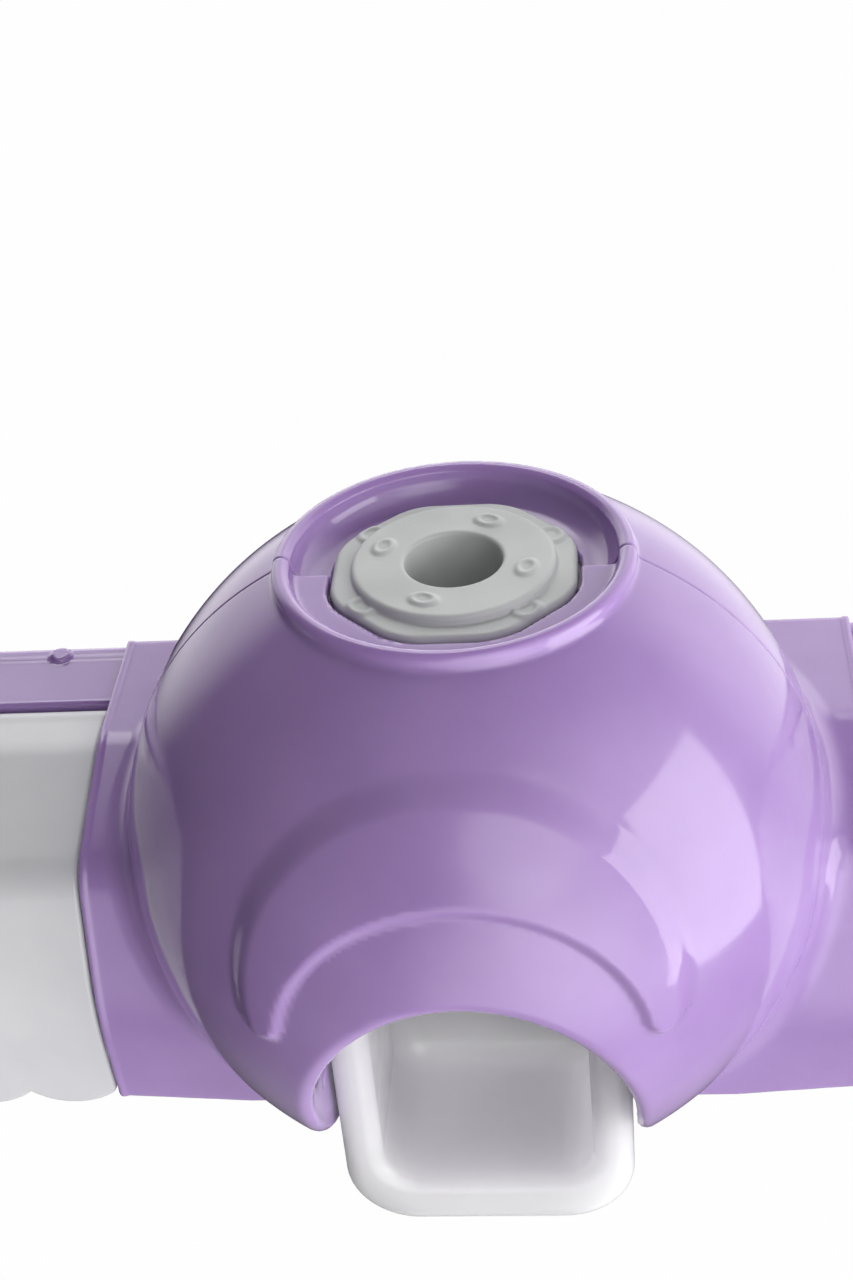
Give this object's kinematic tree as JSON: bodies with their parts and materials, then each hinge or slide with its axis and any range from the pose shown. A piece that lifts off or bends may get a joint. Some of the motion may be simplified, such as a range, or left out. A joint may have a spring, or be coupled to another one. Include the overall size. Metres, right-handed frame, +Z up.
{
  "type": "toothpaste dispenser",
  "caption": "Wall-mounted toothpaste dispenser: a ball-shaped body with a neck seal on top, a sprung push cup in an arched mouth, and side arms with hinged brush covers.",
  "frame": {"origin": "on the wall, at the middle of the adhesive pad's back, level with the ball's centre", "axes": "+X along the arms to the viewer's right, +Y into the wall, +Z up"},
  "size_m": [0.2822, 0.0893, 0.0998],
  "materials": {
    "lavender_shell": "polished lavender moulding",
    "white_shell": "polished white moulding",
    "inner_plastic": "plain moulded",
    "steel": "drawn and turned",
    "neck_seal": "matt soft rubber",
    "dark_rubber": "matt",
    "foam_pad": "foam with adhesive faces"
  },
  "bodies": {
    "housing": {"front_shell": "lavender_shell", "rear_shell": "lavender_shell", "right_arm_frame": "lavender_shell", "left_arm_frame": "lavender_shell", "right_end_cap": "lavender_shell", "left_end_cap": "lavender_shell", "pump_body": "inner_plastic", "barrel_cap": "inner_plastic", "outlet_nozzle": "inner_plastic", "right_brush_rack": "inner_plastic", "left_brush_rack": "inner_plastic", "wall_plate": "inner_plastic", "guide_rods": "steel", "return_spring": "steel", "right_hinge_pin": "steel", "left_hinge_pin": "steel", "shell_screws": "steel", "arm_screws": "steel", "pump_screws": "steel", "neck_seal": "neck_seal", "inlet_valve": "dark_rubber", "outlet_valve": "dark_rubber", "adhesive_pad": "foam_pad"},
    "push_cup": {"push_cup": "white_shell", "piston": "inner_plastic", "piston_ring": "dark_rubber"},
    "left_cover": {"left_cover": "white_shell"},
    "right_cover": {"right_cover": "white_shell"}
  },
  "joints": [
    {"name": "cup_push", "type": "slide", "parent": "housing", "child": "push_cup", "axis": [0, 1, 0], "range_m": [0, 0.007], "stiffness_N_per_m": 150, "springref_m": -0.004, "deforming": ["return_spring"]},
    {"name": "right_cover_hinge", "type": "hinge", "parent": "housing", "child": "right_cover", "pos_m": [0.0974, -0.0205, 0.0036], "axis": [-1, 0, 0], "range_deg": [0, 80]},
    {"name": "left_cover_hinge", "type": "hinge", "parent": "housing", "child": "left_cover", "pos_m": [-0.0974, -0.0205, 0.0036], "axis": [-1, 0, 0], "range_deg": [0, 80]}
  ]
}
